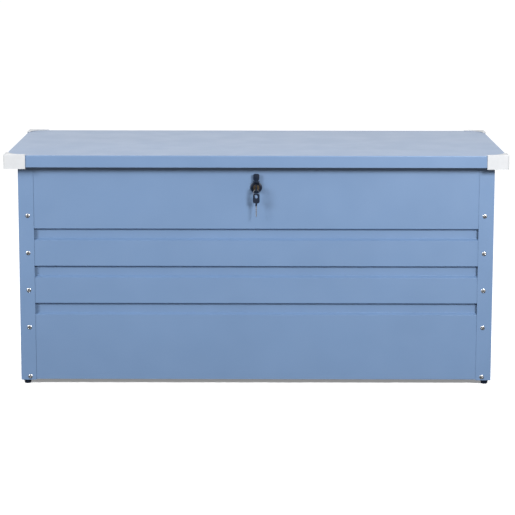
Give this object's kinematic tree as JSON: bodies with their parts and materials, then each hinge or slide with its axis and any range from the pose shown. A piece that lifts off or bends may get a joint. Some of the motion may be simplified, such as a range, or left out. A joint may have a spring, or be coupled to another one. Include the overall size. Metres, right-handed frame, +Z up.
{
  "type": "deck storage box",
  "caption": "Painted sheet-steel outdoor storage chest with ribbed walls, a hinged lid on gas struts, plastic lid corners and a key lock.",
  "frame": {"origin": "on the ground under the middle of the box's bounding box", "axes": "+Z up, the front with the lock faces -Y, +X to the right seen from the front"},
  "size_m": [1.32, 0.62, 0.62],
  "materials": {
    "body_paint": "smooth metallic blue paint, satin",
    "lid_paint": "smooth metallic blue paint, satin",
    "floor_sheet": "galvanised sheet",
    "cap_plastic": "white, fine grain",
    "black_plastic": "black, fine grain",
    "rubber": "black, matte",
    "steel": "zinc plated",
    "brass": "dull brass",
    "strut_black": "black enamel, gloss"
  },
  "bodies": {
    "box": {"flap_pin": "steel", "floor_panel": "floor_sheet", "foot_front_left": "black_plastic", "foot_front_right": "black_plastic", "foot_rear_left": "black_plastic", "foot_rear_right": "black_plastic", "front_panel": "body_paint", "hinge_body_leaf_left": "steel", "hinge_body_leaf_right": "steel", "hinge_pin_left": "steel", "hinge_pin_right": "steel", "left_panel": "body_paint", "lid_buffer_left": "rubber", "lid_buffer_right": "rubber", "lock_housing": "black_plastic", "lock_nut": "steel", "post_front_left": "body_paint", "post_front_right": "body_paint", "post_rear_left": "body_paint", "post_rear_right": "body_paint", "post_screw_left_1": "steel", "post_screw_left_2": "steel", "post_screw_left_3": "steel", "post_screw_left_4": "steel", "post_screw_left_5": "steel", "post_screw_right_1": "steel", "post_screw_right_2": "steel", "post_screw_right_3": "steel", "post_screw_right_4": "steel", "post_screw_right_5": "steel", "rear_panel": "body_paint", "right_panel": "body_paint", "strut_body_bracket_left": "steel", "strut_body_bracket_right": "steel"},
    "lid": {"corner_cap_front_left": "cap_plastic", "corner_cap_front_right": "cap_plastic", "corner_cap_rear_left": "cap_plastic", "corner_cap_rear_right": "cap_plastic", "hinge_lid_leaf_left": "steel", "hinge_lid_leaf_right": "steel", "lid_panel": "lid_paint", "lid_stiffener_left": "lid_paint", "lid_stiffener_right": "lid_paint", "lock_keeper": "steel", "strut_lid_bracket_left": "steel", "strut_lid_bracket_right": "steel"},
    "plug": {"lock_plug": "brass", "lock_cam": "steel", "cam_bolt": "steel"},
    "flap": {"lock_flap": "black_plastic"},
    "key": {"key_head": "black_plastic", "key_blade": "steel"},
    "ring": {"key_ring": "steel"},
    "spare_key": {"spare_key_head": "black_plastic", "spare_key_blade": "steel"},
    "strut_cylinder_left": {"strut_cylinder_left": "strut_black"},
    "strut_rod_left": {"strut_rod_left": "steel"},
    "strut_cylinder_right": {"strut_cylinder_right": "strut_black"},
    "strut_rod_right": {"strut_rod_right": "steel"}
  },
  "joints": [
    {"name": "lid_hinge", "type": "hinge", "parent": "box", "child": "lid", "pos_m": [0, 0.301, 0.586], "axis": [-1, 0, 0], "range_deg": [0, 80]},
    {"name": "strut_cylinder_left_turn", "type": "hinge", "parent": "box", "child": "strut_cylinder_left", "pos_m": [-0.598, 0.24633, 0.36259], "axis": [-1, 0, 0], "range_deg": [0, 40]},
    {"name": "strut_cylinder_right_turn", "type": "hinge", "parent": "box", "child": "strut_cylinder_right", "pos_m": [0.598, 0.24633, 0.36259], "axis": [-1, 0, 0], "range_deg": [0, 40]},
    {"name": "strut_rod_left_turn", "type": "hinge", "parent": "lid", "child": "strut_rod_left", "pos_m": [-0.598, 0.07105, 0.58098], "axis": [-1, 0, 0], "range_deg": [-40, 0]},
    {"name": "strut_rod_right_turn", "type": "hinge", "parent": "lid", "child": "strut_rod_right", "pos_m": [0.598, 0.07105, 0.58098], "axis": [-1, 0, 0], "range_deg": [-40, 0]},
    {"name": "plug_turn", "type": "hinge", "parent": "box", "child": "plug", "pos_m": [0, -0.2745, 0.53], "axis": [0, 1, 0], "range_deg": [0, 90]},
    {"name": "flap_swing", "type": "hinge", "parent": "box", "child": "flap", "pos_m": [0, -0.2832, 0.545], "axis": [1, 0, 0], "range_deg": [0, 90]},
    {"name": "key_withdraw", "type": "slide", "parent": "plug", "child": "key", "axis": [0, -1, 0], "range_m": [0, 0.034]},
    {"name": "ring_hang", "type": "hinge", "parent": "key", "child": "ring", "pos_m": [0, -0.3014, 0.52325], "axis": [0, 1, 0], "range_deg": [-100, 10]},
    {"name": "spare_key_swing", "type": "hinge", "parent": "ring", "child": "spare_key", "pos_m": [0, -0.3014, 0.51007], "axis": [0, 1, 0], "range_deg": [-20, 20]}
  ],
  "couplings": [
    {"joint": "strut_cylinder_left_turn", "follows": "lid_hinge", "ratio": 0.5},
    {"joint": "strut_cylinder_right_turn", "follows": "lid_hinge", "ratio": 0.5},
    {"joint": "strut_rod_left_turn", "follows": "lid_hinge", "ratio": -0.5},
    {"joint": "strut_rod_right_turn", "follows": "lid_hinge", "ratio": -0.5},
    {"joint": "ring_hang", "follows": "plug_turn", "ratio": -1}
  ]
}
